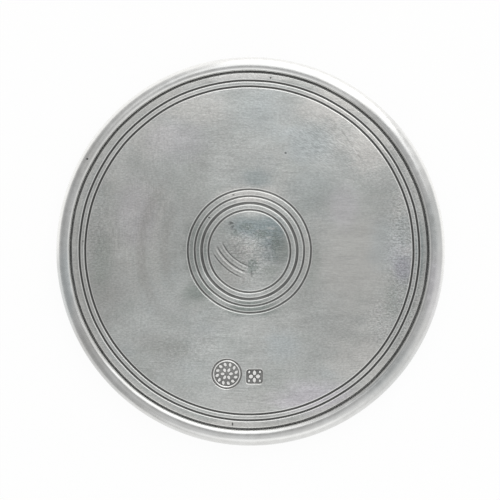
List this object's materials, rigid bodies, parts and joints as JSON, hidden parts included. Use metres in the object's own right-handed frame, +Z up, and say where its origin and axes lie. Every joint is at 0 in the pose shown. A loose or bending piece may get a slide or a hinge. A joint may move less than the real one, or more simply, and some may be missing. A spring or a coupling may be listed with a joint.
{
  "type": "bottle coaster",
  "caption": "Round pewter wine bottle coaster with a low beaded rim, turned rings, punched marks and a cork pad under it.",
  "frame": {"origin": "middle of the underside of the cork pad, on the table", "axes": "+Z up, out of the face that carries the bottle; -Y towards the punched marks"},
  "size_m": [0.127, 0.127, 0.0076],
  "materials": {
    "rim_pewter": "hand-rubbed pewter, oxidised in the recesses",
    "plate_pewter": "brushed pewter with cloudy oxidation",
    "solder": "dull soft solder",
    "adhesive": "thin amber film",
    "cork": "sanded agglomerated cork"
  },
  "bodies": {
    "root": {"rim_ring": "rim_pewter", "plate": "plate_pewter", "solder_seam": "solder", "cork_adhesive": "adhesive", "cork_pad": "cork"}
  },
  "joints": []
}
